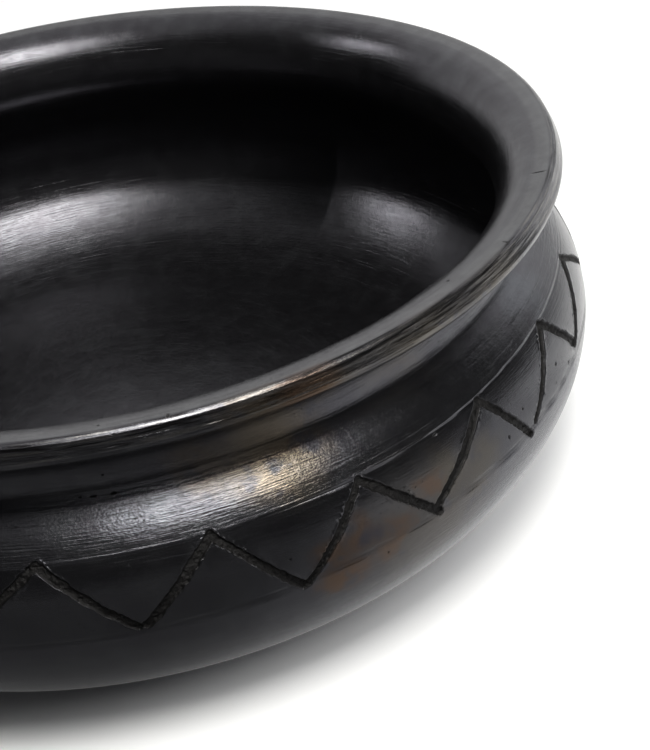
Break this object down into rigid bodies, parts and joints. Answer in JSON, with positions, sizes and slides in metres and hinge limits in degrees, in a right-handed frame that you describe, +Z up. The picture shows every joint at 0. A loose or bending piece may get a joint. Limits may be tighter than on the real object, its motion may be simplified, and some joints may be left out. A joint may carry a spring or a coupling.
{
  "type": "clay pot",
  "caption": "Wide, low, round pot of black burnished clay with an everted rim, a short neck and a scratched zigzag band round its belly.",
  "frame": {"origin": "centre of the flat bottom, on the surface the pot stands on", "axes": "+Z up along the pot's axis; the pot is round, so X and Y are free"},
  "size_m": [0.293, 0.293, 0.0957],
  "materials": {
    "burnished_clay": "burnished graphite black with brown fire clouds"
  },
  "bodies": {
    "root": {"base_slab": "burnished_clay", "lower_wall": "burnished_clay", "belly_coil": "burnished_clay", "shoulder_coil": "burnished_clay", "neck_coil": "burnished_clay", "rim_coil": "burnished_clay"}
  },
  "joints": []
}
